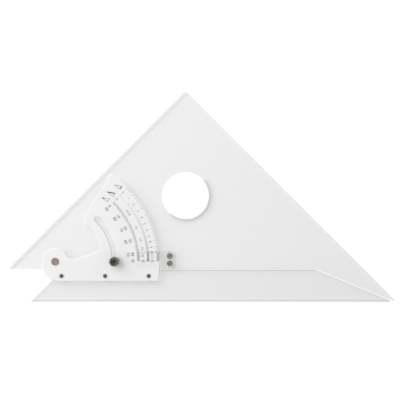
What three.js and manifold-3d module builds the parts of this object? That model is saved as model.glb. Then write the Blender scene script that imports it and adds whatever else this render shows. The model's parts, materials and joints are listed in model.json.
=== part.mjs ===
// Adjustable set square: a clear triangle that swings against a straight bar, held at any slope
// from 0 to 45 degrees by a knob in the slot of a protractor plate.
// Millimetres, +Z up. The square lies on the drawing surface, z = 0, with its long edge along X.
// Outlines are laid out from the pivot, and the whole group is then moved so that the origin is
// under the middle of the closed square.

import * as THREE from 'three';
import { mergeVertices } from 'three/addons/utils/BufferGeometryUtils.js';
import Module from 'manifold-3d';

const wasm = await Module();
wasm.setup();

// Driving dimensions: the triangle

const LEG = 254; // short sides of the closed 45-45-90 triangle
const SHEET = 2.5; // acrylic of the bar
const RUN_CLEARANCE = 0.1; // the blade is this much thinner than the bar, so it swings freely
const PIVOT_ABOVE_EDGE = 34.7; // pivot to the long drawing edge
const PIVOT_TO_APEX_X = 110.46; // pivot to the triangle's axis, along the long edge
const TIP_TRIM = 1.2; // how far the blade's left tip is cut back
const RIGHT_TIP_TRIM = 2.4;
const HOLE_RADIUS = 20.4; // finger hole
const HOLE_BELOW_APEX = 88.9;
const BLADE_BEVEL = 2.8;
const EDGE_LAND = 1.1; // height left at the rim of a bevelled edge

// The bar

const BAR_WIDTH = 27.3;
const BAR_BEVEL = 3.2;
const BAR_GAP = 0.85; // between the bar and the closed blade
const MITRE_GAP = 1.25; // the same, along the mitre at the right corner
const MITRE_DEG = 22.5; // half of the 45 degree corner
const BAR_LEFT_END_X = -21.2; // lower end of the bar's 45 degree left end
const BAR_TIP_X = 284.7;

// The protractor plate

const SWING_DEG = 45;
const INDEX_DEG = 0.5; // direction of the hair line and of the clamp screw from the pivot
const PLATE_THICK = 1.5;
const PLATE_RADIUS = 88.9;
const PLATE_INNER_RADIUS = 40.8;
const PLATE_END_DEG = 57.6;
const PLATE_BELOW_PIVOT = 16.7;
const PLATE_END_ROUND = 8;
const PLATE_TIP_ROUND = 1.2;
const LOBE_RADIUS = 11.4; // round the pivot
const LOBE_CORNER_RADIUS = 15.2;
const THROAT_RADIUS = 6; // hollow between the lobe and the sloping edge
const SLOPE_DEG = 20;
const SLOPE_BELOW_PIVOT = 4.29; // from the pivot, square to the sloping edge
const RECESS_ROUND = 2.5;
const SLOT_RADIUS = 50.7;
const SLOT_HALF_WIDTH = 2.3;

// The cursor

const CURSOR = { left: 69.8, right: 102.2, bottom: -5.4, top: 8.9, thick: 1, lift: 0.2 };
const CURSOR_TILT_DEG = -2.4;
const CURSOR_BASE_LEFT = 90.2; // left side of the packing strip, just outside the protractor
const CURSOR_RIVET_X = 97.1;
const CURSOR_RIVETS = { upper: 4.7, lower: -1.7 }; // height of each over the pivot

// Rivets, washers and the clamp. A tubular rivet's head is a rolled rim on top. Its other end
// rolls out over a washer, in a pocket under the acrylic.

const PIVOT_EYELET = { head: 3.2, tube: 2.5, bore: 1.9, rim: 0.7, washer: 4.1, pocket: 4.4 };
const SMALL_RIVET = { head: 1.85, tube: 1.3, bore: 0.9, rim: 0.45, washer: 2.2, pocket: 2.4 };
const BAR_RIVETS = { left: 5.4, middle: 42.4, right: 79.4 }; // distance of each along the bar
const BAR_RIVET_Y = -12.2;
const WASHER_THICK = 0.4;
const ROLL_THICK = 0.5;
const ABOVE_TABLE = 0.15; // what is set into the underside stays this far off the table
const FIT = 0.05; // radial play round a rivet or the screw
const SHIM = { width: 2.2, thick: 0.08 };
const SCREW = { radius: 2, headRadius: 3.4, headThick: 0.9, top: 10.6, point: 0.4 };
const THREAD_PLAY = 0.12;
const KNOB = { radius: 3.95, foot: 3.3, footHeight: 0.7, height: 8.4, chamfer: 0.5, teeth: 24 };
const KNURL_DEPTH = 0.25;
const KNOB_MOUTH = { radius: 2.6, depth: 0.8 };
const KNOB_WASHER_RADIUS = 3.6;

const ROUND_STEPS = 24; // sides of a small round piece
const ARC_STEP_DEG = 3;

// Worked out from them

const DEG = Math.PI / 180;
const HEIGHT = LEG / Math.SQRT2;
const EDGE_Y = -PIVOT_ABOVE_EDGE;
const APEX = new THREE.Vector2(PIVOT_TO_APEX_X, EDGE_Y + HEIGHT);
const CORNER_RIGHT_X = APEX.x + HEIGHT;
const BAR_TOP_Y = EDGE_Y + BAR_WIDTH;
const BLADE_BOTTOM_Y = BAR_TOP_Y + BAR_GAP;
const BLADE_THICK = SHEET - RUN_CLEARANCE;
const LEFT_TIP_X = APEX.x - (APEX.y - BLADE_BOTTOM_Y) + TIP_TRIM;
const RIGHT_TIP_X = CORNER_RIGHT_X - RIGHT_TIP_TRIM;
const PLATE_TOP = SHEET + PLATE_THICK;
const CURSOR_Z = PLATE_TOP + CURSOR.lift;
const CURSOR_TOP_Z = CURSOR_Z + CURSOR.thick;
const WASHER_Z = ABOVE_TABLE + ROLL_THICK;
const POCKET_TOP = WASHER_Z + WASHER_THICK;
const KNOB_Z = PLATE_TOP + WASHER_THICK;
const HOLE_CENTRE = new THREE.Vector2(APEX.x, APEX.y - HOLE_BELOW_APEX);
const PIVOT = new THREE.Vector2();
const CLAMP = polar(SLOT_RADIUS, INDEX_DEG);

// Points and outlines

/** The point at a distance and a direction from a centre. */
function polar(radius, degrees, centre = { x: 0, y: 0 }) {
  const angle = degrees * DEG;
  return new THREE.Vector2(
    centre.x + radius * Math.cos(angle),
    centre.y + radius * Math.sin(angle),
  );
}

/** Points along an arc, both ends included. */
function arc(centre, radius, fromDeg, toDeg) {
  const steps = Math.max(2, Math.ceil(Math.abs(toDeg - fromDeg) / ARC_STEP_DEG));
  const point = (_, i) => polar(radius, fromDeg + ((toDeg - fromDeg) * i) / steps, centre);
  return Array.from({ length: steps + 1 }, point);
}

function circle(centre, radius, steps = ROUND_STEPS) {
  const point = (_, i) => polar(radius, (360 * i) / steps, centre);
  return Array.from({ length: steps }, point);
}

function directionDeg(vector) {
  return Math.atan2(vector.y, vector.x) / DEG;
}

// Solids

/** A flat sheet with this outline and these holes, from one height to another. */
function sheet(outline, holes, bottom, top) {
  const shape = new THREE.Shape(outline);
  shape.holes = holes.map((points) => new THREE.Path(points));
  const geometry = new THREE.ExtrudeGeometry(shape, { depth: top - bottom, bevelEnabled: false });
  return geometry.translate(0, 0, bottom);
}

/** A round piece about the Z axis. Its profile of [radius, z] pairs runs anticlockwise, and
 *  either ends on the axis or closes on itself. */
function turned(profile) {
  const closed = profile[0][0] > 0 ? [...profile, profile[0]] : profile;
  const points = closed.map(([radius, z]) => new THREE.Vector2(radius, z));
  return new THREE.LatheGeometry(points, ROUND_STEPS).rotateX(Math.PI / 2);
}

function ring(inner, outer, bottom, top) {
  return turned([[inner, bottom], [outer, bottom], [outer, top], [inner, top]]);
}

function toManifold(geometry) {
  const bare = geometry.clone();
  bare.deleteAttribute('normal');
  bare.deleteAttribute('uv');
  const merged = mergeVertices(bare);
  return new wasm.Manifold(new wasm.Mesh({
    numProp: 3,
    vertProperties: new Float32Array(merged.attributes.position.array),
    triVerts: new Uint32Array(merged.index.array),
  }));
}

function toGeometry(manifold) {
  const { vertProperties, triVerts } = manifold.getMesh();
  const geometry = new THREE.BufferGeometry();
  geometry.setAttribute('position', new THREE.BufferAttribute(vertProperties, 3));
  geometry.setIndex(new THREE.BufferAttribute(triVerts, 1));
  return geometry;
}

function cut(geometry, tools) {
  const start = toManifold(geometry);
  return toGeometry(tools.reduce((body, tool) => body.subtract(toManifold(tool)), start));
}

/** Cuts a round pocket into the underside. */
function pocket(centre, radius) {
  return sheet(circle(centre, radius), [], -1, POCKET_TOP);
}

/** The wedge that bevels the top of an edge. Walking along the edge, the material is on the left. */
function bevelTool(from, to, width, top) {
  const overrun = 20;
  const outside = 2;
  const rise = (top - EDGE_LAND) / width;
  const profile = new THREE.Shape([
    new THREE.Vector2(-outside, EDGE_LAND - outside * rise),
    new THREE.Vector2(width + outside, top + outside * rise),
    new THREE.Vector2(-outside, top + outside * rise),
  ]);
  const forward = to.clone().sub(from);
  const depth = forward.length() + 2 * overrun;
  forward.normalize();
  const geometry = new THREE.ExtrudeGeometry(profile, { depth, bevelEnabled: false });
  const place = new THREE.Matrix4().makeBasis(
    new THREE.Vector3(-forward.y, forward.x, 0),
    new THREE.Vector3(0, 0, 1),
    new THREE.Vector3(forward.x, forward.y, 0),
  );
  const start = from.clone().addScaledVector(forward, -overrun);
  return geometry.applyMatrix4(place.setPosition(start.x, start.y, 0));
}

// The acrylic pieces

/** Height of the mitre line, which runs through the triangle's right corner, at x. */
function mitreY(x) {
  return EDGE_Y + Math.tan(MITRE_DEG * DEG) * (CORNER_RIGHT_X - x);
}

function mitreX(y) {
  return CORNER_RIGHT_X - (y - EDGE_Y) / Math.tan(MITRE_DEG * DEG);
}

function bladeGeometry() {
  const leftLegY = (x) => APEX.y - (APEX.x - x);
  const rightLegY = (x) => APEX.y - (x - APEX.x);
  const outline = [
    new THREE.Vector2(LEFT_TIP_X, BLADE_BOTTOM_Y),
    new THREE.Vector2(mitreX(BLADE_BOTTOM_Y), BLADE_BOTTOM_Y),
    new THREE.Vector2(RIGHT_TIP_X, mitreY(RIGHT_TIP_X)),
    new THREE.Vector2(RIGHT_TIP_X, rightLegY(RIGHT_TIP_X)),
    APEX,
    new THREE.Vector2(LEFT_TIP_X, leftLegY(LEFT_TIP_X)),
  ];
  const cursorRivets = Object.values(CURSOR_RIVETS).map((y) => new THREE.Vector2(CURSOR_RIVET_X, y));
  const holes = [
    circle(HOLE_CENTRE, HOLE_RADIUS, 3 * ROUND_STEPS),
    circle(PIVOT, PIVOT_EYELET.tube + FIT),
    circle(CLAMP, SCREW.radius + FIT),
    ...cursorRivets.map((centre) => circle(centre, SMALL_RIVET.tube + FIT)),
  ];
  return cut(sheet(outline, holes, 0, BLADE_THICK), [
    bevelTool(APEX, new THREE.Vector2(LEFT_TIP_X, leftLegY(LEFT_TIP_X)), BLADE_BEVEL, BLADE_THICK),
    pocket(PIVOT, PIVOT_EYELET.pocket),
    pocket(CLAMP, SCREW.headRadius + FIT),
    ...cursorRivets.map((centre) => pocket(centre, SMALL_RIVET.pocket)),
  ]);
}

function barGeometry() {
  const lower = MITRE_GAP / Math.cos(MITRE_DEG * DEG);
  const leftEnd = new THREE.Vector2(BAR_LEFT_END_X, EDGE_Y);
  const rightEnd = new THREE.Vector2(BAR_TIP_X, EDGE_Y);
  const outline = [
    leftEnd,
    rightEnd,
    new THREE.Vector2(BAR_TIP_X, mitreY(BAR_TIP_X) - lower),
    new THREE.Vector2(mitreX(BAR_TOP_Y + lower), BAR_TOP_Y),
    new THREE.Vector2(BAR_LEFT_END_X + BAR_WIDTH, BAR_TOP_Y),
  ];
  const rivets = Object.values(BAR_RIVETS).map((x) => new THREE.Vector2(x, BAR_RIVET_Y));
  const holes = rivets.map((centre) => circle(centre, SMALL_RIVET.tube + FIT));
  return cut(sheet(outline, holes, 0, SHEET), [
    bevelTool(leftEnd, rightEnd, BAR_BEVEL, SHEET),
    ...rivets.map((centre) => pocket(centre, SMALL_RIVET.pocket)),
  ]);
}

/** The slot along which the clamp screw travels, as wide as the screw and its play. */
function slotOutline() {
  const end = INDEX_DEG + SWING_DEG;
  return [
    ...arc(PIVOT, SLOT_RADIUS + SLOT_HALF_WIDTH, INDEX_DEG, end),
    ...arc(polar(SLOT_RADIUS, end), SLOT_HALF_WIDTH, end, end + 180).slice(1, -1),
    ...arc(PIVOT, SLOT_RADIUS - SLOT_HALF_WIDTH, end, INDEX_DEG),
    ...arc(CLAMP, SLOT_HALF_WIDTH, INDEX_DEG + 180, INDEX_DEG + 360).slice(1, -1),
  ];
}

/** Centre of the arc that rounds the corner between the sloping edge and a circle round the pivot. */
function onSlope(radius, fromPivot) {
  const along = Math.sqrt(fromPivot ** 2 - (radius - SLOPE_BELOW_PIVOT) ** 2);
  return polar(radius - SLOPE_BELOW_PIVOT, SLOPE_DEG + 90, polar(along, SLOPE_DEG));
}

function plateOutline() {
  const lobeOffset = LOBE_CORNER_RADIUS - LOBE_RADIUS;
  const cornerY = LOBE_CORNER_RADIUS - PLATE_BELOW_PIVOT;
  const corner = new THREE.Vector2(Math.sqrt(lobeOffset ** 2 - cornerY ** 2), cornerY);
  const lobeEndDeg = directionDeg(corner) + 180;
  const bottomDeg = -Math.asin(PLATE_BELOW_PIVOT / PLATE_RADIUS) / DEG;
  const tipFromPivot = PLATE_RADIUS - PLATE_TIP_ROUND;
  const tipDeg = PLATE_END_DEG - Math.asin(PLATE_TIP_ROUND / tipFromPivot) / DEG;
  const endFromPivot = PLATE_INNER_RADIUS + PLATE_END_ROUND;
  const endDeg = PLATE_END_DEG - Math.asin(PLATE_END_ROUND / endFromPivot) / DEG;
  const recess = onSlope(RECESS_ROUND, PLATE_INNER_RADIUS - RECESS_ROUND);
  const throat = onSlope(THROAT_RADIUS, LOBE_RADIUS + THROAT_RADIUS);
  const squareDeg = PLATE_END_DEG + 90; // square to the radial end
  return [
    ...arc(corner, LOBE_CORNER_RADIUS, lobeEndDeg, 270),
    ...arc(PIVOT, PLATE_RADIUS, bottomDeg, tipDeg),
    ...arc(polar(tipFromPivot, tipDeg), PLATE_TIP_ROUND, tipDeg, squareDeg).slice(1),
    ...arc(polar(endFromPivot, endDeg), PLATE_END_ROUND, squareDeg, endDeg + 180),
    ...arc(PIVOT, PLATE_INNER_RADIUS, endDeg, directionDeg(recess)).slice(1),
    ...arc(recess, RECESS_ROUND, directionDeg(recess), SLOPE_DEG - 90).slice(1),
    ...arc(throat, THROAT_RADIUS, SLOPE_DEG - 90, directionDeg(throat) - 180),
    ...arc(PIVOT, LOBE_RADIUS, directionDeg(throat), lobeEndDeg).slice(1, -1),
  ];
}

function plateGeometry() {
  const rivets = Object.values(BAR_RIVETS).map((x) => new THREE.Vector2(x, BAR_RIVET_Y));
  const holes = [
    slotOutline(),
    circle(PIVOT, PIVOT_EYELET.tube + FIT),
    ...rivets.map((centre) => circle(centre, SMALL_RIVET.tube + FIT)),
  ];
  return sheet(plateOutline(), holes, SHEET, PLATE_TOP);
}

/** A clear strip of the cursor from its left side to the cursor's right end. */
function cursorPiece(left, bottom, top) {
  const middle = new THREE.Vector2(
    (CURSOR.left + CURSOR.right) / 2,
    (CURSOR.bottom + CURSOR.top) / 2,
  );
  const outline = [
    new THREE.Vector2(left, CURSOR.bottom),
    new THREE.Vector2(CURSOR.right, CURSOR.bottom),
    new THREE.Vector2(CURSOR.right, CURSOR.top),
    new THREE.Vector2(left, CURSOR.top),
  ].map((corner) => corner.rotateAround(middle, CURSOR_TILT_DEG * DEG));
  const holes = Object.values(CURSOR_RIVETS).map((y) =>
    circle(new THREE.Vector2(CURSOR_RIVET_X, y), SMALL_RIVET.tube + FIT));
  return sheet(outline, holes, bottom, top);
}

// The hardware, each about its own axis

/** A tubular rivet whose head lies on a face at this height. */
function rivetGeometry({ head, tube, bore, rim }, face) {
  const soft = rim / 3; // how far the rolled rims are rounded
  return turned([
    [bore, ABOVE_TABLE],
    [head - soft, ABOVE_TABLE],
    [head, ABOVE_TABLE + soft],
    [head - soft, WASHER_Z],
    [tube, WASHER_Z],
    [tube, face],
    [head, face],
    [head, face + rim - soft],
    [head - soft, face + rim],
    [bore + soft, face + rim],
    [bore, face + rim - soft],
  ]);
}

function washerGeometry({ tube, washer }) {
  return ring(tube + FIT, washer, WASHER_Z, POCKET_TOP);
}

/** A slip ring in the air between the blade and the protractor. */
function shimGeometry(inner) {
  const bottom = BLADE_THICK + (RUN_CLEARANCE - SHIM.thick) / 2;
  return ring(inner, inner + SHIM.width, bottom, bottom + SHIM.thick);
}

function screwGeometry() {
  const headTop = ABOVE_TABLE + SCREW.headThick;
  return turned([
    [0, ABOVE_TABLE],
    [SCREW.headRadius, ABOVE_TABLE],
    [SCREW.headRadius, headTop],
    [SCREW.radius, headTop],
    [SCREW.radius, SCREW.top - SCREW.point],
    [SCREW.radius - SCREW.point, SCREW.top],
    [0, SCREW.top],
  ]);
}

/** A knurled thumb nut: a toothed prism held inside a turned envelope, then bored. */
function knobGeometry() {
  const top = KNOB_Z + KNOB.height;
  const footTop = KNOB_Z + KNOB.footHeight;
  const shoulder = KNOB.radius - KNOB.chamfer;
  const teeth = Array.from({ length: 2 * KNOB.teeth }, (_, i) =>
    polar(KNOB.radius - (i % 2) * KNURL_DEPTH, (180 * i) / KNOB.teeth));
  const envelope = turned([
    [0, KNOB_Z],
    [KNOB.foot, KNOB_Z],
    [KNOB.foot, footTop],
    [shoulder, footTop],
    [KNOB.radius, footTop + KNOB.chamfer],
    [KNOB.radius, top - KNOB.chamfer],
    [shoulder, top],
    [0, top],
  ]);
  const body = toManifold(sheet(teeth, [], KNOB_Z - 1, top + 1)).intersect(toManifold(envelope));
  return cut(toGeometry(body), [
    sheet(circle(PIVOT, SCREW.radius + THREAD_PLAY), [], KNOB_Z - 1, top + 1),
    sheet(circle(PIVOT, KNOB_MOUTH.radius), [], top - KNOB_MOUTH.depth, top + 1),
  ]);
}

// Materials

function material(color, roughness, metalness, opacity = 1) {
  const transparent = opacity < 1;
  return new THREE.MeshStandardMaterial({ color, roughness, metalness, opacity, transparent });
}

const MATERIALS = {
  clear: material(0xeef2f1, 0.06, 0, 0.35),
  milky: material(0xf1f3f2, 0.35, 0, 0.85),
  brass: material(0xb8945a, 0.35, 1),
  copper: material(0xb07a5c, 0.35, 1),
  dark: material(0x2a2421, 0.5, 0.8),
  nylon: material(0xe9e6dc, 0.5, 0),
};

// Assembly: the base stays still, and the blade group turns about the pivot

const base = new THREE.Group();
const blade = new THREE.Group();

function place(group, name, geometry, look, position = PIVOT) {
  const mesh = new THREE.Mesh(geometry, MATERIALS[look]);
  mesh.name = name;
  mesh.position.set(position.x, position.y, 0);
  group.add(mesh);
}

place(base, 'base_bar', barGeometry(), 'clear');
place(base, 'protractor_plate', plateGeometry(), 'milky');
place(base, 'pivot_eyelet', rivetGeometry(PIVOT_EYELET, PLATE_TOP), 'copper');
place(base, 'pivot_washer', washerGeometry(PIVOT_EYELET), 'brass');
place(base, 'pivot_shim', shimGeometry(PIVOT_EYELET.tube + FIT), 'nylon');
for (const [side, x] of Object.entries(BAR_RIVETS)) {
  const position = new THREE.Vector2(x, BAR_RIVET_Y);
  place(base, `bar_rivet_${side}`, rivetGeometry(SMALL_RIVET, PLATE_TOP), 'brass', position);
  place(base, `bar_washer_${side}`, washerGeometry(SMALL_RIVET), 'brass', position);
}

place(blade, 'blade', bladeGeometry(), 'clear');
place(blade, 'cursor_spacer', cursorPiece(CURSOR_BASE_LEFT, BLADE_THICK, CURSOR_Z), 'clear');
place(blade, 'cursor_plate', cursorPiece(CURSOR.left, CURSOR_Z, CURSOR_TOP_Z), 'clear');
for (const [side, y] of Object.entries(CURSOR_RIVETS)) {
  const position = new THREE.Vector2(CURSOR_RIVET_X, y);
  place(blade, `cursor_rivet_${side}`, rivetGeometry(SMALL_RIVET, CURSOR_TOP_Z), 'brass', position);
  place(blade, `cursor_washer_${side}`, washerGeometry(SMALL_RIVET), 'brass', position);
}
place(blade, 'clamp_screw', screwGeometry(), 'dark', CLAMP);
place(blade, 'clamp_shim', shimGeometry(SCREW.radius + FIT), 'nylon', CLAMP);
place(blade, 'knob_washer',
  ring(SCREW.radius + THREAD_PLAY, KNOB_WASHER_RADIUS, PLATE_TOP, KNOB_Z), 'dark', CLAMP);
place(blade, 'clamp_knob', knobGeometry(), 'dark', CLAMP);

const setSquare = new THREE.Group();
setSquare.add(base, blade);
setSquare.position.set(-(LEFT_TIP_X + RIGHT_TIP_X) / 2, -(EDGE_Y + APEX.y) / 2, 0);

export default setSquare;
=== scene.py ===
"""Looks of the adjustable set square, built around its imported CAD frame. Metres, Z up."""
import json
import math

import bmesh
import bpy
from mathutils import Matrix, Vector

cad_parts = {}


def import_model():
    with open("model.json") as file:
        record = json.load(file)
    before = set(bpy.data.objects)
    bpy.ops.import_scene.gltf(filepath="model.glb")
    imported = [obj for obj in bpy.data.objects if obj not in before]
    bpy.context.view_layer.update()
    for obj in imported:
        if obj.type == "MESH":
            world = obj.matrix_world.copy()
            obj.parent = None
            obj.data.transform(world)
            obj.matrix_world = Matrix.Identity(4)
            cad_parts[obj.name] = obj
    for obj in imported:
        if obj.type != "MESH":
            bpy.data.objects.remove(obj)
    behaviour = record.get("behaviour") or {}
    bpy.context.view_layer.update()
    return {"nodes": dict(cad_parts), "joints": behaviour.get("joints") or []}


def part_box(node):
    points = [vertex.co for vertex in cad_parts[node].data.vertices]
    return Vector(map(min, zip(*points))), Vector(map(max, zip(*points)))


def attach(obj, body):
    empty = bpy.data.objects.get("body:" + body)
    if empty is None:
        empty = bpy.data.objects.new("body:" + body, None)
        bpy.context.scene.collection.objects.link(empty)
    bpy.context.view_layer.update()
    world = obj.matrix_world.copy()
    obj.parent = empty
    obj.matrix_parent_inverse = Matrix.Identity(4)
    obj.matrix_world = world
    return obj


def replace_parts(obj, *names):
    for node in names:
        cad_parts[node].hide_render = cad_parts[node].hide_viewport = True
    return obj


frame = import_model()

MM = 0.001

# Places, all read from the frame
JOINTS = {joint["name"]: joint for joint in frame["joints"]}
PIVOT = Vector(JOINTS["blade_swing"]["pos_m"])
CLAMP = Vector(JOINTS["knob_turn"]["pos_m"])
INDEX = math.atan2(CLAMP.y - PIVOT.y, CLAMP.x - PIVOT.x)  # direction of the reading line
SWING = math.radians(JOINTS["blade_swing"]["range_deg"][1])
PLATE_LOW, PLATE_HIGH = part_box("protractor_plate")
CURSOR_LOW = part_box("cursor_plate")[0]
BLADE_LOW, BLADE_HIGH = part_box("blade")

# Camera and light, in metres from the middle of the drawing surface
FRAME_WIDTH = 0.3404  # what the view takes in at the blade
CAMERA_HEIGHT = 0.62
CAMERA_AIM = Vector((-0.0010, -0.0028))
SENSOR = 0.036
FLOOR_DROP = 0.2 * MM  # air under the acrylic
KEY_PLACE = Vector((-0.72, 0.72, 1.2))
KEY_SIZE = 0.6
KEY_POWER = 1.9
FILL_PLACE = Vector((-0.8, 0.4, 0.7))
FILL_SIZE = 1.3
FILL_POWER = 10.8
SKY_STRENGTH = 0.765

# Rims and edges of the acrylic
RIM = 0.15 * MM
ARRIS = 0.32 * MM  # half the width of the softened line along the top of a bevel
PLATE_RIM = 0.22 * MM
CURSOR_RIM = 0.12 * MM
AIR_FILM = 0.02 * MM  # between clear pieces that lie on each other
WELD = 0.002 * MM  # corners of the CAD mesh this close are one
SLIVER = 0.005 * MM  # shorter edges are dissolved
FLAT_WITHIN = math.radians(0.5)  # facets this close in direction are one flat face
BEVEL_TILT = (0.85, 0.97)  # the upward part of a bevel's normal lies between these
ARRIS_ANGLES = (18, 40)  # degrees between the faces along the top of a bevel
RIM_ANGLES = (40, 180)  # and along the rims
TRUSTED_AREA = 1e-10  # a smaller face's normal can't be trusted
ACRYLIC_SMOOTH = 12  # degrees below which faces are shaded as one
LIT_ABOVE = 0.03  # how far an edge must face the key to count as lit
FAR_ABOVE = 0.3  # how far an unlit edge of the blade must face away to take the painted dark outline
LIGHT_LINE_ABOVE = 0.2  # how far a rim of the blade's long edge must face up to take the painted light line
SLOT_NEAR = 5 * MM  # the slot's walls lie within this of the clamp's path
PLATE_END = 38 * MM  # above this, from the pivot, the plate's lit edge fades into its face
SLOT_END = INDEX + SWING - math.radians(1)
HOLE_CENTRE = Vector(((BLADE_LOW.x + BLADE_HIGH.x) / 2 - 13.5 * MM, BLADE_HIGH.y - 88.9 * MM))
HOLE_NEAR = 21 * MM  # the finger hole's wall lies within this of its centre

# Places of the looks in an acrylic piece's list. The plate has no bevel, and uses two of them anew.
# The lit and unlit looks are painted light and shade, picked by whether a face turns towards the
# key.
FACE, UNLIT_EDGE, LIT_EDGE, BEVEL, LIT_ARRIS, LIGHT_LINE_ARRIS, HOLE_SHADE_WALL, FAR_SHADE_EDGE = range(8)
SLOT_SHADE_WALL, FRONT_SHADE_EDGE = BEVEL, LIT_ARRIS

# Rivets, washers and the clamp, about their own axes
EYELET = {"tube": 2.5 * MM, "bore": 1.9 * MM, "rim": 0.7 * MM, "roll": 0.5 * MM}
RIVET = {"tube": 1.3 * MM, "bore": 0.9 * MM, "rim": 0.45 * MM, "roll": 0.5 * MM}
FIT = 0.05 * MM
ROUND = 48  # sides of a small round piece
KNOB_ROUND = 144
TURNED_SMOOTH, RIVET_SMOOTH, KNOB_SMOOTH = 40, 60, 50  # degrees below which faces shade as one
BORE_REACH = 0.1 * MM  # a rivet's faces this near its bore take the bore's painted light
WASHER_SOFT = 0.1 * MM
ROLL_STEPS = 8  # parts of a rolled rim
HAND_SET = 0.008  # how far a hand-set rivet strays from round, as a share of its radius
THREAD_PITCH = 0.7 * MM
THREAD_DEPTH = 0.22 * MM
THREAD_ROWS = 4  # rows of corners in each turn of the thread
SCREW = {"thick": 0.9 * MM, "radius": 2 * MM, "point": 0.4 * MM, "dimple": 1 * MM,
         "dimple_depth": 1.6 * MM, "dimple_taper": 0.8, "dimple_reach": 0.02 * MM,
         "plain": 0.4 * MM, "low_soft": 0.15 * MM, "top_soft": 0.1 * MM}
KNOB = {"foot": 3.3 * MM, "foot_height": 0.7 * MM, "foot_soft": 0.1 * MM, "chamfer": 0.5 * MM,
        "bore": 2.12 * MM, "mouth": 2.6 * MM, "mouth_depth": 0.8 * MM, "mouth_soft": 0.15 * MM,
        "groove_out": 0.75 * MM, "groove_in": 1.0 * MM, "groove_depth": 0.2 * MM, "rows": 10,
        "knurls": 36, "knurl_depth": 0.2 * MM, "knurl_lean": 5}

# The protractor's printed scales, in metres from the pivot
INK_THICK = 0.02 * MM
HAIR = 0.12 * MM
DEGREE_BAND = 70.7 * MM
DEGREE_LINE = DEGREE_BAND + 0.55 * MM  # the arc that the degree ticks hang from
SLOPE_BAND = 78.9 * MM
SLOPE_INSET = 0.6  # millimetres from the band in to the arc that the slope ticks stand on
RISE_TICKS = (85.6 * MM, 88.1 * MM)
RUN = 12  # the rise and slope scales are read for a run of twelve
DEGREE_LONG = (2.8, 2.2, 1.7)  # millimetres: every fifth degree, whole degrees, halves
SLOPE_LONG = (2.4, 1.9, 1.4)  # millimetres: wholes, halves, tenths
RISE_SHARE = (1.0, 0.7, 0.45)  # of the full tick: wholes, halves, quarters
DEGREE_TICK, SLOPE_TICK, RISE_TICK = 0.13 * MM, 0.2 * MM, 0.22 * MM  # widths
DEGREE_ARC, SLOPE_ARC = 0.08 * MM, 0.06 * MM  # widths
ARC_STEP = math.radians(1)
DIGIT = 2.5 * MM
SMALL_DIGIT = 2.0 * MM
DIGIT_TO_FONT = 1.35  # font size for a digit's height
DEGREE_NUMBERS, COMPLEMENT_NUMBERS = 65.9 * MM, 62.2 * MM
SLOPE_NUMBERS, RISE_NUMBERS = 74.6 * MM, 82.3 * MM
ZERO_LINE = (68.2 * MM, 73 * MM)
PRINT_WELD = 0.0005 * MM
SIGN_WIDE, SIGN_TALL = 6 * MM, 3.2 * MM
SIGN_BOLD, SIGN_THIN = 0.8, 0.25  # millimetres
ANGLE_MARK = (1.6, 1.5, 0.9, 0.6)  # millimetres: its foot and top along, its height and width
SIGNS = {"angle": (68.9 * MM, math.radians(51.3)), "slope": (75.4 * MM, math.radians(50.9)),
         "rise": (83.8 * MM, math.radians(50.4))}

# The cursor's printed marks
HAIR_LINES = (70.1 * MM, 88.6 * MM)
HAIR_LINE_WIDE, VERNIER_WIDE = 0.14 * MM, 0.11 * MM
VERNIER_REACH = 6.8 * MM  # from the first hair line to the second
VERNIER_PARTS = 12
VERNIERS = ((DEGREE_BAND + 0.3 * MM, 1.6 * MM), (SLOPE_BAND, 1.8 * MM), (87.4 * MM, 2.0 * MM))


# ---------------------------------------------------------------- materials

FACE_ROUGH = (0.01, 0.05)  # polished
EDGE_ROUGH = (0.08, 0.14)  # sawn, then scraped
RIPPLE = 0.004 * MM
ACRYLIC_IOR = 1.49


def new_material(name):
    """A node material, its node tree and its Principled shader."""
    mat = bpy.data.materials.new(name)
    mat.use_nodes = True
    tree = mat.node_tree
    return mat, tree, tree.nodes["Principled BSDF"]


def add(tree, kind, **values):
    """A new node, with the named inputs and settings set."""
    node = tree.nodes.new(kind)
    for key, value in values.items():
        if key in node.inputs:
            node.inputs[key].default_value = value
        else:
            setattr(node, key, value)
    return node


def object_noise(tree, scale, detail, stretch=(1, 1, 1), lean=0.0):
    """Noise in the object's own metres. A stretch makes streaks, and lean turns them."""
    place = add(tree, "ShaderNodeTexCoord")
    turn = add(tree, "ShaderNodeMapping", Scale=stretch, Rotation=(0, 0, lean))
    noise = add(tree, "ShaderNodeTexNoise", Scale=scale, Detail=detail, Roughness=0.55)
    tree.links.new(place.outputs["Object"], turn.inputs["Vector"])
    tree.links.new(turn.outputs["Vector"], noise.inputs["Vector"])
    return noise.outputs["Fac"]


def remap(tree, value, low, high, into_low, into_high):
    node = add(tree, "ShaderNodeMapRange")
    node.inputs["From Min"].default_value = low
    node.inputs["From Max"].default_value = high
    node.inputs["To Min"].default_value = into_low
    node.inputs["To Max"].default_value = into_high
    tree.links.new(value, node.inputs["Value"])
    return node.outputs["Result"]


def blend_colours(tree, factor, first, second):
    node = add(tree, "ShaderNodeMix", data_type="RGBA")
    for socket in node.inputs:
        if socket.name in ("A", "B") and socket.type == "RGBA":
            socket.default_value = (*(first if socket.name == "A" else second), 1)
    tree.links.new(factor, node.inputs["Factor"])
    return next(s for s in node.outputs if s.type == "RGBA")


def bump(tree, shader, height, distance):
    node = add(tree, "ShaderNodeBump", Strength=1.0, Distance=distance)
    tree.links.new(height, node.inputs["Height"])
    tree.links.new(node.outputs["Normal"], shader.inputs["Normal"])


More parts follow.
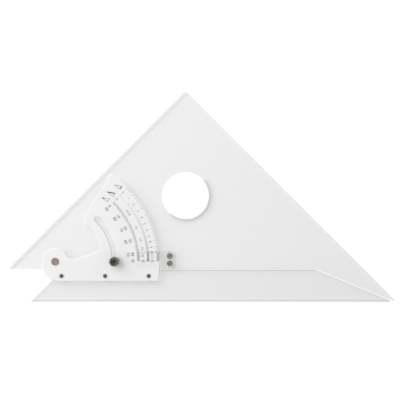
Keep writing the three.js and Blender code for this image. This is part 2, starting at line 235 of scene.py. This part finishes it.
def lets_lamps_through(tree, shader, tint):
    """Lamps and soft light reach what lies under the acrylic: their rays pass straight, tinted."""
    path = add(tree, "ShaderNodeLightPath")
    clear = add(tree, "ShaderNodeBsdfTransparent", Color=(*tint, 1))
    soft = add(tree, "ShaderNodeMixShader")
    lamp = add(tree, "ShaderNodeMixShader")
    tree.links.new(path.outputs["Is Diffuse Ray"], soft.inputs[0])
    tree.links.new(shader.outputs["BSDF"], soft.inputs[1])
    tree.links.new(clear.outputs["BSDF"], soft.inputs[2])
    tree.links.new(path.outputs["Is Shadow Ray"], lamp.inputs[0])
    tree.links.new(soft.outputs["Shader"], lamp.inputs[1])
    tree.links.new(clear.outputs["BSDF"], lamp.inputs[2])
    tree.links.new(lamp.outputs["Shader"], tree.nodes["Material Output"].inputs["Surface"])


def acrylic(name, tint, shadow_tint, rough=FACE_ROUGH):
    """Cast acrylic: faint haze and hair scratches, and the slow ripple of a cast sheet."""
    mat, tree, shader = new_material(name)
    cloud = object_noise(tree, 30, 2.0)
    second = tuple(c * 0.985 for c in tint)
    tree.links.new(blend_colours(tree, cloud, tint, second), shader.inputs["Base Color"])
    scratches = object_noise(tree, 900, 4.0, stretch=(0.06, 1, 1), lean=0.7)
    tree.links.new(remap(tree, scratches, 0.35, 0.75, *rough), shader.inputs["Roughness"])
    bump(tree, shader, object_noise(tree, 55, 2.0), RIPPLE)
    shader.inputs["IOR"].default_value = ACRYLIC_IOR
    shader.inputs["Transmission Weight"].default_value = 1.0
    lets_lamps_through(tree, shader, shadow_tint)
    return mat


def milky_acrylic(name, light, shade, glow):
    """Translucent white sheet with a satin face. Some light glows through to what lies under it."""
    mat, tree, shader = new_material(name)
    cloud = object_noise(tree, 120, 4.0)
    tree.links.new(blend_colours(tree, cloud, light, shade), shader.inputs["Base Color"])
    grain = object_noise(tree, 2500, 3.0)
    tree.links.new(remap(tree, grain, 0.3, 0.7, 0.24, 0.36), shader.inputs["Roughness"])
    bump(tree, shader, grain, 0.000006)
    shader.inputs["Subsurface Weight"].default_value = 0.6
    shader.inputs["Subsurface Radius"].default_value = (1.0, 1.0, 1.0)
    shader.inputs["Subsurface Scale"].default_value = 1.2 * MM
    lets_lamps_through(tree, shader, glow)
    return mat


def metal(name, bright, dull, rough, metallic=1.0):
    """Turned or rolled metal: dull patches, and fine tool marks in its roughness and surface."""
    mat, tree, shader = new_material(name)
    patches = object_noise(tree, 700, 5.0)
    tree.links.new(blend_colours(tree, remap(tree, patches, 0.35, 0.65, 0, 1), bright, dull),
                   shader.inputs["Base Color"])
    marks = object_noise(tree, 4000.0, 3.0, stretch=(1, 1, 5))
    tree.links.new(remap(tree, marks, 0.3, 0.7, *rough), shader.inputs["Roughness"])
    bump(tree, shader, marks, 0.000008)
    shader.inputs["Metallic"].default_value = metallic
    return mat


def print_ink(name, colour, faded):
    """Screen-printed ink, a little uneven where the screen left it thin."""
    mat, tree, shader = new_material(name)
    cover = object_noise(tree, 1500, 4.0)
    tree.links.new(blend_colours(tree, remap(tree, cover, 0.45, 0.8, 0, 1), colour, faded),
                   shader.inputs["Base Color"])
    tree.links.new(remap(tree, cover, 0.3, 0.7, 0.45, 0.6), shader.inputs["Roughness"])
    return mat


def slip_plastic(name):
    mat, tree, shader = new_material(name)
    cloud = object_noise(tree, 900, 4.0)
    tree.links.new(blend_colours(tree, cloud, (0.82, 0.81, 0.77), (0.74, 0.73, 0.69)),
                   shader.inputs["Base Color"])
    tree.links.new(remap(tree, cloud, 0.3, 0.7, 0.4, 0.55), shader.inputs["Roughness"])
    return mat


CLEAR = acrylic("clear_acrylic", (0.93, 0.931, 0.93), (0.891, 0.892, 0.891))
BAR = acrylic("clear_acrylic_bar", (0.915, 0.916, 0.915), (0.885, 0.886, 0.885))
# painted shade: the bar's bevel, which faces away from the key, is tinted much darker than its
# face; the blade's lit bevel stays close to its face
SLOPE_SHADE = acrylic("clear_acrylic_bevel_shade", (0.79, 0.791, 0.791), (0.86, 0.861, 0.861))
SLOPE_LIT = acrylic("clear_acrylic_lit_bevel", (0.92, 0.921, 0.921), (0.88, 0.881, 0.881))
# painted light: edges that face away from the key stay nearly clear, lighter than the faces, which
# keeps the gap under the blade's lower edge bright
EDGE_UNLIT = acrylic("clear_acrylic_unlit_edge", (0.97, 0.975, 0.975), (0.97, 0.97, 0.97), EDGE_ROUGH)
# painted shade: a dark outline along the blade's right leg and the finger hole's unlit wall
EDGE_FAR_SHADE = acrylic("clear_acrylic_far_edge_shade", (0.4, 0.405, 0.405), (0.95, 0.95, 0.95), EDGE_ROUGH)
# painted shade: edges that face the key are tinted dark and pass less lamp light, for the dark band
# along them
EDGE_LIT_SHADE = acrylic("clear_acrylic_lit_edge_shade", (0.3, 0.305, 0.305), (0.75, 0.755, 0.755), EDGE_ROUGH)
# painted shade: the finger hole's wall that faces the key is dark, for the dark crescent along it
HOLE_LIT_SHADE = acrylic("clear_acrylic_hole_shade", (0.2, 0.205, 0.205), (0.34, 0.345, 0.345), EDGE_ROUGH)
# painted shade: a dark line along the top of a bevel that faces the key
ARRIS_LIT_SHADE = acrylic("clear_acrylic_lit_arris_shade", (0.5, 0.505, 0.505), (0.7, 0.705, 0.705), EDGE_ROUGH)
# painted light: a milky white line on arrises and lower rims that face away from the key, standing
# in for the bright line along those edges
ARRIS_LIGHT_LINE = milky_acrylic("arris_painted_light", (0.86, 0.86, 0.86), (0.8, 0.8, 0.8), (0.92, 0.92, 0.92))
CURSOR_EDGE = acrylic("cursor_acrylic_edge", (0.9, 0.895, 0.89), (0.94, 0.938, 0.935), EDGE_ROUGH)
CURSOR_CLEAR = acrylic("cursor_acrylic", (0.995, 0.992, 0.99), (0.995, 0.993, 0.992))
MILKY = milky_acrylic("milky_acrylic", (0.74, 0.743, 0.74),
                      (0.72, 0.725, 0.722), (0.985, 0.984, 0.983))
# painted shade: the slot's unlit wall is dark, for the dark line along the slot's left side
MILKY_SLOT_SHADE = milky_acrylic("milky_acrylic_slot_shade", (0.36, 0.364, 0.362),
                           (0.32, 0.325, 0.322), (0.7, 0.7, 0.7))
# painted light: the plate's edges that face the key are lighter than its face
MILKY_LIT = milky_acrylic("milky_acrylic_lit_edge", (0.9, 0.9, 0.9),
                          (0.85, 0.85, 0.85), (0.95, 0.95, 0.95))
# painted shade: the plate's edges that face away from the key are dark and block most lamp light,
# for the dark line and shadow along them
MILKY_EDGE_SHADE = milky_acrylic("milky_acrylic_edge_shade", (0.4, 0.404, 0.402),
                           (0.36, 0.364, 0.362), (0.35, 0.35, 0.35))
# painted shade: the plate's front edge is near black, for the dark line along its bottom
MILKY_FRONT_SHADE = milky_acrylic("milky_acrylic_front_shade", (0.14, 0.143, 0.142),
                            (0.12, 0.123, 0.122), (0.16, 0.16, 0.16))
BRASS = metal("rivet_brass", (0.38, 0.36, 0.22), (0.24, 0.22, 0.13), (0.25, 0.42))
BRONZE = metal("rivet_bronze", (0.40, 0.34, 0.31), (0.24, 0.19, 0.17), (0.25, 0.42))
STEEL = metal("rivet_steel", (0.42, 0.40, 0.35), (0.26, 0.25, 0.21), (0.25, 0.42))
# painted shade: the screw's dimple is near black, for the dark hole at the knob's centre
SOCKET_SHADE = metal("screw_socket_painted_shade", (0.02, 0.017, 0.015), (0.012, 0.01, 0.009), (0.5, 0.65), 0.5)
# painted light: a bright pale metal in the rivets' bores, standing in for the lit floor seen
# through them
BORE_LIGHT = metal("eyelet_bore_painted_light", (0.95, 0.84, 0.79), (0.88, 0.76, 0.71), (0.3, 0.45))
COPPER = metal("eyelet_copper", (0.44, 0.34, 0.28), (0.25, 0.18, 0.145), (0.22, 0.4))
DARK = metal("dark_bronze", (0.25, 0.215, 0.19), (0.14, 0.118, 0.102), (0.3, 0.5), 0.8)
INK = print_ink("scale_ink", (0.035, 0.035, 0.04), (0.10, 0.10, 0.11))
SLIP = slip_plastic("slip_plastic")


# ---------------------------------------------------------------- mesh helpers


def make_object(name, mesh, body, slot, *materials):
    """A new piece that rides on a body and wears the given looks. Its slot is not used."""
    obj = bpy.data.objects.new(name, mesh)
    bpy.context.scene.collection.objects.link(obj)
    for mat in materials:
        mesh.materials.append(mat)
    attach(obj, body)
    return obj


def to_mesh(name, bm):
    bmesh.ops.recalc_face_normals(bm, faces=bm.faces)
    mesh = bpy.data.meshes.new(name)
    bm.to_mesh(mesh)
    bm.free()
    return mesh


def shade_by_angle(mesh, degrees):
    mesh.shade_smooth()
    mesh.set_sharp_from_angle(angle=math.radians(degrees))


def corner_angle(edge):
    """Degrees between the two faces here, or none where a sliver's normal can't be trusted."""
    if not edge.is_manifold or min(f.calc_area() for f in edge.link_faces) < TRUSTED_AREA:
        return 0
    return math.degrees(edge.calc_face_angle(0))


def soften(bm, low_angle, high_angle, width, beside=None):
    """Round the edges whose angle lies between the two, or only those of them beside some faces,
    and give back the faces of the rounding."""
    sharp = [e for e in bm.edges if low_angle < corner_angle(e) < high_angle
             and (beside is None or not beside.isdisjoint(e.link_faces))]
    return set(bmesh.ops.bevel(bm, geom=sharp, offset=width, offset_type="OFFSET", segments=2,
                               profile=0.5, affect="EDGES", clamp_overlap=False)["faces"])


def polished(node, body, slot, looks, rim, film=0.0):
    """The CAD node again with softened rims. Its looks are in the order named above, as many as it
    uses. A film is the air kept above and below a clear piece that lies on another."""
    bm = bmesh.new()
    bm.from_mesh(frame["nodes"][node].data)
    bm.transform(frame["nodes"][node].matrix_world)
    bmesh.ops.remove_doubles(bm, verts=bm.verts, dist=WELD)
    low = min(v.co.z for v in bm.verts)
    high = max(v.co.z for v in bm.verts)
    bmesh.ops.dissolve_degenerate(bm, edges=bm.edges, dist=SLIVER)
    bmesh.ops.dissolve_limit(bm, angle_limit=FLAT_WITHIN, verts=bm.verts, edges=bm.edges)
    slopes = {f for f in bm.faces if BEVEL_TILT[0] < f.normal.z < BEVEL_TILT[1]}
    for face in slopes:
        face.material_index = BEVEL
    for face in soften(bm, *ARRIS_ANGLES, ARRIS, slopes):
        face.material_index = LIT_ARRIS
    rims = soften(bm, *RIM_ANGLES, rim)
    for vertex in bm.verts:
        at_low, at_high = abs(vertex.co.z - low) < rim, abs(vertex.co.z - high) < rim
        vertex.co.z += film * at_low - film * at_high
    bmesh.ops.recalc_face_normals(bm, faces=bm.faces)
    # Faces turned towards the key take the lit looks and the rest the unlit ones: painted light and
    # painted shade.
    towards_key = KEY_PLACE.normalized()
    for face in bm.faces:
        lit = face.normal.xy.dot(towards_key.xy) > LIT_ABOVE
        if face in rims or abs(face.normal.z) < BEVEL_TILT[0]:
            face.material_index = LIT_EDGE if lit else UNLIT_EDGE
        # arrises that face away from the key take the painted light line
        elif face.material_index == LIT_ARRIS and not lit:
            face.material_index = LIGHT_LINE_ARRIS
    mesh = to_mesh(node + "_polished", bm)
    shade_by_angle(mesh, ACRYLIC_SMOOTH)
    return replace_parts(make_object(node + "_polished", mesh, body, slot, *looks), node)


def revolve(profile, steps, shape=None):
    """A closed solid of revolution. The profile runs anticlockwise as (radius, z) and closes on
    itself, or starts and ends on the axis. shape(angle, radius, z) may change a radius."""
    bm = bmesh.new()
    rings = []
    for radius, z in profile:
        if radius == 0:
            rings.append([bm.verts.new((0, 0, z))])
            continue
        ring = []
        for i in range(steps):
            angle = 2 * math.pi * i / steps
            r = shape(angle, radius, z) if shape else radius
            ring.append(bm.verts.new((r * math.cos(angle), r * math.sin(angle), z)))
        rings.append(ring)
    pairs = list(zip(rings, rings[1:]))
    if len(rings[0]) > 1:
        pairs.append((rings[-1], rings[0]))
    for lower, upper in pairs:
        for i in range(steps):
            j = (i + 1) % steps
            corners = [lower[i % len(lower)], lower[j % len(lower)],
                       upper[j % len(upper)], upper[i % len(upper)]]
            bm.faces.new(list(dict.fromkeys(corners)))
    return bm


def roll(inner, outer, low, high, start, end):
    """Points of a rolled rim: part of an ellipse between two radii and two heights."""
    radius, width = (inner + outer) / 2, (outer - inner) / 2
    z, height = (low + high) / 2, (high - low) / 2
    angles = [math.radians(start + (end - start) * i / ROLL_STEPS)
              for i in range(ROLL_STEPS + 1)]
    return [(radius + width * math.cos(a), z + height * math.sin(a)) for a in angles]


def hardware(node, body, slot, look, bm, smooth=TURNED_SMOOTH, bore=0.0, bore_light_shade_look=None):
    """A round piece that takes the place of a CAD node, on the same axis. Its bore may have its own
    look: painted light in the rivets' bores, painted shade in the screw's dimple."""
    low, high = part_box(node)
    for face in bm.faces:
        if face.calc_center_median().xy.length < bore:
            face.material_index = 1
    bmesh.ops.translate(bm, verts=bm.verts, vec=((low.x + high.x) / 2, (low.y + high.y) / 2, 0))
    mesh = to_mesh(node + "_turned", bm)
    shade_by_angle(mesh, smooth)
    looks = (look, bore_light_shade_look) if bore_light_shade_look else (look,)
    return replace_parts(make_object(node + "_turned", mesh, body, slot, *looks), node)


# ---------------------------------------------------------------- acrylic


blade = polished("blade", "blade", "clear_acrylic",
                 (CLEAR, EDGE_UNLIT, EDGE_LIT_SHADE, SLOPE_LIT, ARRIS_LIT_SHADE, ARRIS_LIGHT_LINE, HOLE_LIT_SHADE, EDGE_FAR_SHADE), RIM)
# Painted shade on the finger hole's walls and on the blade's edges that face away from the key.
for face in blade.data.polygons:
    at_hole = (face.center.xy - HOLE_CENTRE).length < HOLE_NEAR
    if at_hole and face.material_index in (UNLIT_EDGE, LIT_EDGE):
        face.material_index = FAR_SHADE_EDGE if face.material_index == UNLIT_EDGE else HOLE_SHADE_WALL
    elif face.material_index == UNLIT_EDGE and face.normal.x + face.normal.y > FAR_ABOVE:
        face.material_index = FAR_SHADE_EDGE
    # the lower rims of the blade's long edge take the painted light line, which keeps the gap above
    # the bar bright
    elif face.material_index == UNLIT_EDGE and face.normal.y < 0 and face.normal.z > LIGHT_LINE_ABOVE:
        face.material_index = LIGHT_LINE_ARRIS
polished("base_bar", "base", "clear_acrylic",
         (BAR, EDGE_UNLIT, EDGE_LIT_SHADE, SLOPE_SHADE, ARRIS_LIT_SHADE, ARRIS_LIGHT_LINE), RIM)
plate = polished("protractor_plate", "base", "milky_acrylic",
                 (MILKY, MILKY_EDGE_SHADE, MILKY_LIT, MILKY_SLOT_SHADE, MILKY_FRONT_SHADE), PLATE_RIM)
# Painted shade on the plate's front edge and the slot's unlit wall; lit edges high on the plate
# take the face's look.
for face in plate.data.polygons:
    from_pivot = face.center.xy - PIVOT.xy
    in_slot = abs(from_pivot.length - (CLAMP - PIVOT).xy.length) < SLOT_NEAR
    before_end = math.atan2(from_pivot.y, from_pivot.x) < SLOT_END
    if face.material_index == UNLIT_EDGE and face.center.y < PLATE_LOW.y + 2 * PLATE_RIM:
        face.material_index = FRONT_SHADE_EDGE
    elif face.material_index == UNLIT_EDGE and in_slot and before_end:
        face.material_index = SLOT_SHADE_WALL
    elif face.material_index == LIT_EDGE and from_pivot.y > PLATE_END:
        face.material_index = FACE
for part in ("cursor_plate", "cursor_spacer"):
    looks = (CURSOR_CLEAR, CURSOR_EDGE, CURSOR_EDGE)
    polished(part, "blade", "clear_acrylic", looks, CURSOR_RIM, AIR_FILM)


# ---------------------------------------------------------------- rivets and washers


def tubular_rivet(node, body, slot, look, kind, bore_light_shade_look=None):
    """A tube rolled outwards over the face above and over the washer below."""
    low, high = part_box(node)
    head = (high.x - low.x) / 2
    face = high.z - kind["rim"]
    washer = low.z + kind["roll"]
    tube, bore = kind["tube"], kind["bore"]
    profile = [(tube, washer), (tube, face)]
    profile += roll(bore, head, face, high.z, -90, 180)
    profile += roll(bore, head, low.z, washer, 180, 450)

    def hand_set(angle, radius, z):
        return radius * (1 - HAND_SET * math.sin(3 * angle + 1) ** 2)

    hardware(node, body, slot, look, revolve(profile, ROUND, hand_set), RIVET_SMOOTH,
             bore + BORE_REACH, bore_light_shade_look)


def washer(node, body, slot, look, inner):
    low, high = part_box(node)
    outer = (high.x - low.x) / 2
    soft = min(WASHER_SOFT, (high.z - low.z) / 3)
    profile = [(inner, low.z), (outer - soft, low.z), (outer, low.z + soft),
               (outer, high.z - soft), (outer - soft, high.z), (inner, high.z)]
    hardware(node, body, slot, look, revolve(profile, ROUND))


tubular_rivet("pivot_eyelet", "base", "copper", COPPER, EYELET, BORE_LIGHT)
washer("pivot_washer", "base", "brass", BRASS, EYELET["tube"] + FIT)
washer("pivot_shim", "base", "slip_plastic", SLIP, EYELET["tube"] + FIT)
for side, look in (("left", BRONZE), ("middle", BRASS), ("right", BRONZE)):
    tubular_rivet(f"bar_rivet_{side}", "base", "brass", look, RIVET)
    washer(f"bar_washer_{side}", "base", "brass", look, RIVET["tube"] + FIT)
for side in ("upper", "lower"):
    tubular_rivet(f"cursor_rivet_{side}", "blade", "brass", STEEL, RIVET, BORE_LIGHT)
    washer(f"cursor_washer_{side}", "blade", "brass", STEEL, RIVET["tube"] + FIT)
washer("clamp_shim", "blade", "slip_plastic", SLIP, SCREW["radius"] + FIT)
washer("knob_washer", "knob_foot", "dark_metal", DARK, KNOB["bore"])


# ---------------------------------------------------------------- clamp screw and knob


def clamp_screw():
    """A flat-headed screw with a real helical thread above its head."""
    low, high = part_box("clamp_screw")
    head = (high.x - low.x) / 2
    radius, point = SCREW["radius"], SCREW["point"]
    head_top = low.z + SCREW["thick"]
    start, stop = head_top + SCREW["plain"], high.z - point
    levels = int((stop - start) / (THREAD_PITCH / THREAD_ROWS))
    low_soft, top_soft = SCREW["low_soft"], SCREW["top_soft"]
    profile = [(0, low.z), (head - low_soft, low.z), (head, low.z + low_soft),
               (head, head_top - top_soft), (head - top_soft, head_top), (radius, head_top)]
    profile += [(radius, start + (stop - start) * i / levels) for i in range(levels + 1)]
    dimple, dimple_low = SCREW["dimple"], high.z - SCREW["dimple_depth"]
    profile += [(radius - point, high.z), (dimple, high.z),
                (dimple * SCREW["dimple_taper"], dimple_low), (0, dimple_low)]

    def thread(angle, r, z):
        if r < radius or z < start or r > radius:
            return r
        turn = (z / THREAD_PITCH - angle / (2 * math.pi)) % 1
        return r - THREAD_DEPTH * abs(2 * turn - 1)

    hardware("clamp_screw", "blade", "dark_metal", DARK, revolve(profile, ROUND, thread),
             bore=dimple + SCREW["dimple_reach"], bore_light_shade_look=SOCKET_SHADE)


def clamp_knob():
    """A turned thumb nut: knurled grip, chamfers, a ring groove in its top and a bored mouth."""
    low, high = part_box("clamp_knob")
    outer = (high.x - low.x) / 2
    foot_top = low.z + KNOB["foot_height"]
    chamfer, depth = KNOB["chamfer"], KNOB["knurl_depth"]
    groove_out, groove_in = outer - KNOB["groove_out"], outer - KNOB["groove_in"]
    grip_low, grip_high = foot_top + chamfer, high.z - chamfer
    rows, foot_soft, mouth_soft = KNOB["rows"], KNOB["foot_soft"], KNOB["mouth_soft"]
    groove_low = high.z - KNOB["groove_depth"]
    profile = [(KNOB["bore"], low.z), (KNOB["foot"] - foot_soft, low.z),
               (KNOB["foot"], low.z + foot_soft), (KNOB["foot"], foot_top),
               (outer - chamfer, foot_top)]
    profile += [(outer, grip_low + (grip_high - grip_low) * i / rows) for i in range(rows + 1)]
    profile += [(outer - chamfer, high.z), (groove_out, high.z), (groove_out, groove_low),
                (groove_in, groove_low), (groove_in, high.z),
                (KNOB["mouth"] + mouth_soft, high.z), (KNOB["mouth"], high.z - mouth_soft),
                (KNOB["mouth"], high.z - KNOB["mouth_depth"]),
                (KNOB["bore"], high.z - KNOB["mouth_depth"])]

    def knurl(angle, r, z):
        if r < outer:
            return r
        row = (z - grip_low) / (grip_high - grip_low) * KNOB["knurl_lean"]
        crossed = abs(math.sin(KNOB["knurls"] / 2 * angle + row)) * \
            abs(math.sin(KNOB["knurls"] / 2 * angle - row))
        return r - depth * (1 - crossed)

    hardware("clamp_knob", "knob", "dark_metal", DARK, revolve(profile, KNOB_ROUND, knurl),
             KNOB_SMOOTH)


clamp_screw()
clamp_knob()


# ---------------------------------------------------------------- printed scales


def on_plate(radius, angle):
    """The point at a radius and a direction from the pivot."""
    return Vector((PIVOT.x + radius * math.cos(angle), PIVOT.y + radius * math.sin(angle)))


def stroke(bm, start, end, width, low):
    """A printed line: a low closed bar between two points."""
    across = (end - start).normalized().orthogonal() * width / 2
    corners = [start + across, end + across, end - across, start - across]
    layers = [[bm.verts.new((*c, z)) for c in corners] for z in (low, low + INK_THICK)]
    bm.faces.new(layers[0][::-1])
    bm.faces.new(layers[1])
    for i in range(4):
        j = (i + 1) % 4
        bm.faces.new((layers[0][i], layers[0][j], layers[1][j], layers[1][i]))


def arc_stroke(bm, radius, start, end, width, low):
    """A printed arc about the pivot, as one closed strip."""
    count = max(2, math.ceil(abs(end - start) / ARC_STEP))
    sections = []
    for i in range(count + 1):
        angle = start + (end - start) * i / count
        inner, outer = on_plate(radius - width / 2, angle), on_plate(radius + width / 2, angle)
        sections.append([bm.verts.new((*inner, low)), bm.verts.new((*outer, low)),
                         bm.verts.new((*outer, low + INK_THICK)),
                         bm.verts.new((*inner, low + INK_THICK))])
    for first, second in zip(sections, sections[1:]):
        for i in range(4):
            j = (i + 1) % 4
            bm.faces.new((first[i], first[j], second[j], second[i]))
    bm.faces.new(sections[0])
    bm.faces.new(sections[-1][::-1])


def numeral(bm, text, radius, angle, low, size=DIGIT):
    """A number, upright along the radius and centred on its mark."""
    data = bpy.data.curves.new("numeral", "FONT")
    data.body = text
    data.size = size * DIGIT_TO_FONT
    data.align_x, data.align_y = "CENTER", "CENTER"
    data.resolution_u = 2
    data.extrude = INK_THICK / 2
    obj = bpy.data.objects.new("numeral", data)
    bpy.context.scene.collection.objects.link(obj)
    bpy.context.view_layer.update()
    mesh = bpy.data.meshes.new_from_object(obj)
    spot = Matrix.Translation((*on_plate(radius, angle), low + INK_THICK / 2))
    mesh.transform(spot @ Matrix.Rotation(angle - math.pi / 2, 4, "Z"))
    bm.from_mesh(mesh)
    bpy.data.objects.remove(obj)
    bpy.data.curves.remove(data)
    bpy.data.meshes.remove(mesh)


def tick(bm, angle, inner, outer, low, width):
    stroke(bm, on_plate(inner, angle), on_plate(outer, angle), width, low)


def at_degrees(reading):
    """Direction of a reading in degrees. A closed square reads 45."""
    return INDEX + SWING - math.radians(reading)


def at_rise(rise):
    return INDEX + SWING - math.atan(rise / RUN)


def at_slope(length):
    return INDEX + SWING - math.acos(RUN / length)


def triangle_sign(bm, low, bold):
    """A small right triangle whose bold side or marked corner says what its scale reads."""
    radius, angle = SIGNS[bold]
    out = Vector((math.cos(angle), math.sin(angle)))
    along = Vector((out.y, -out.x))
    centre = on_plate(radius, angle)
    heel = centre - along * SIGN_WIDE / 2 - out * SIGN_TALL / 2
    toe = centre + along * SIGN_WIDE / 2 - out * SIGN_TALL / 2
    top = centre + along * SIGN_WIDE / 2 + out * SIGN_TALL / 2
    sides = {"run": (heel, toe), "rise": (toe, top), "slope": (heel, top)}
    for name, (start, end) in sides.items():
        stroke(bm, start, end, (SIGN_BOLD if name == bold else SIGN_THIN) * MM, low)
    if bold == "angle":
        foot, lean, rise, wide = ANGLE_MARK
        stroke(bm, heel + along * foot * MM, heel + along * lean * MM + out * rise * MM,
               wide * MM, low)


def scale_object(name, body, bm):
    bmesh.ops.remove_doubles(bm, verts=bm.verts, dist=PRINT_WELD)
    mesh = to_mesh(name, bm)
    make_object(name, mesh, body, "ink", INK)


def degree_scale():
    bm, top = bmesh.new(), PLATE_HIGH.z
    arc_stroke(bm, DEGREE_LINE, at_degrees(0), at_degrees(45), DEGREE_ARC, top)
    fifth, whole, part = DEGREE_LONG
    for half in range(0, 91):
        reading = half / 2
        long = fifth if reading % 5 == 0 else whole if reading % 1 == 0 else part
        tick(bm, at_degrees(reading), DEGREE_LINE - long * MM, DEGREE_LINE, top, DEGREE_TICK)
    for reading in range(0, 50, 10):
        numeral(bm, str(reading), DEGREE_NUMBERS, at_degrees(reading), top)
        numeral(bm, str(90 - reading), COMPLEMENT_NUMBERS, at_degrees(reading), top)
    numeral(bm, "45", DEGREE_NUMBERS, at_degrees(45), top)
    inner, outer = ZERO_LINE
    stroke(bm, on_plate(inner, at_degrees(0)), on_plate(outer, at_degrees(0)), HAIR, top)
    triangle_sign(bm, top, "angle")
    scale_object("degree_scale", "base", bm)


def slope_scale():
    bm, top = bmesh.new(), PLATE_HIGH.z
    inner = SLOPE_BAND - SLOPE_INSET * MM
    whole, half, part = SLOPE_LONG
    for tenth in range(120, 171):
        long = whole if tenth % 10 == 0 else half if tenth % 5 == 0 else part
        tick(bm, at_slope(tenth / 10), inner, SLOPE_BAND + (long - SLOPE_INSET) * MM, top,
             SLOPE_TICK)
    arc_stroke(bm, inner, at_slope(12), at_slope(17), SLOPE_ARC, top)
    for text in ("12", "12.25", "13", "14", "15", "16", "17"):
        numeral(bm, text, SLOPE_NUMBERS, at_slope(float(text)), top, SMALL_DIGIT)
    triangle_sign(bm, top, "slope")
    scale_object("slope_scale", "base", bm)


def rise_scale():
    bm, top = bmesh.new(), PLATE_HIGH.z
    inner, outer = RISE_TICKS
    whole, half, part = RISE_SHARE
    for quarter in range(0, 49):
        share = whole if quarter % 4 == 0 else half if quarter % 2 == 0 else part
        tick(bm, at_rise(quarter / 4), outer - (outer - inner) * share, outer, top, RISE_TICK)
    for rise in range(0, 13):
        numeral(bm, str(rise), RISE_NUMBERS, at_rise(rise), top, SMALL_DIGIT)
    triangle_sign(bm, top, "rise")
    scale_object("rise_scale", "base", bm)


def cursor_marks():
    """Two hair lines and three verniers, printed on the cursor's underside."""
    bm, low = bmesh.new(), CURSOR_LOW.z - INK_THICK
    out = Vector((math.cos(INDEX), math.sin(INDEX)))
    across = Vector((-out.y, out.x))
    base = Vector((PIVOT.x, PIVOT.y))
    inner, outer = HAIR_LINES
    for offset in (0, VERNIER_REACH):
        stroke(bm, base + out * inner + across * offset, base + out * outer + across * offset,
               HAIR_LINE_WIDE, low)
    for radius, long in VERNIERS:
        for i in range(VERNIER_PARTS + 1):
            spot = base + out * (radius - long / 2) + across * VERNIER_REACH * i / VERNIER_PARTS
            stroke(bm, spot, spot + out * long, VERNIER_WIDE, low)
    scale_object("cursor_marks", "blade", bm)


degree_scale()
slope_scale()
rise_scale()
cursor_marks()


# ---------------------------------------------------------------- camera, light, floor


def camera():
    data = bpy.data.cameras.new("camera")
    data.sensor_width = SENSOR * 1000
    data.lens = SENSOR * 1000 * (CAMERA_HEIGHT - BLADE_HIGH.z) / FRAME_WIDTH
    obj = bpy.data.objects.new("camera", data)
    obj.location = (*CAMERA_AIM, CAMERA_HEIGHT)
    bpy.context.scene.collection.objects.link(obj)
    bpy.context.scene.camera = obj


def area_light(name, place, size, power):
    data = bpy.data.lights.new(name, "AREA")
    data.shape = "SQUARE"
    data.size = size
    data.energy = power
    obj = bpy.data.objects.new(name, data)
    obj.location = place
    obj.rotation_euler = (-Vector(place)).to_track_quat("-Z", "Y").to_euler()
    bpy.context.scene.collection.objects.link(obj)
    return obj


def world(strength):
    scene_world = bpy.data.worlds.new("studio")
    bpy.context.scene.world = scene_world
    scene_world.use_nodes = True
    background = scene_world.node_tree.nodes["Background"]
    background.inputs["Color"].default_value = (1, 1, 1, 1)
    background.inputs["Strength"].default_value = strength


def floor():
    bm = bmesh.new()
    bmesh.ops.create_grid(bm, x_segments=1, y_segments=1, size=3)
    mesh = to_mesh("floor", bm)
    mesh.transform(Matrix.Translation((0, 0, -FLOOR_DROP)))
    obj = bpy.data.objects.new("floor", mesh)
    bpy.context.scene.collection.objects.link(obj)
    mat, tree, shader = new_material("floor_white")
    cloud = object_noise(tree, 4, 2.0)
    tree.links.new(blend_colours(tree, cloud, (0.985, 0.985, 0.985), (0.98, 0.98, 0.98)),
                   shader.inputs["Base Color"])
    shader.inputs["Roughness"].default_value = 0.9
    mesh.materials.append(mat)


camera()
area_light("key", KEY_PLACE, KEY_SIZE, KEY_POWER)
fill = area_light("fill", FILL_PLACE, FILL_SIZE, FILL_POWER)
fill.visible_glossy = False
fill.visible_transmission = False
world(SKY_STRENGTH)
floor()
bpy.context.scene.view_settings.view_transform = "Standard"
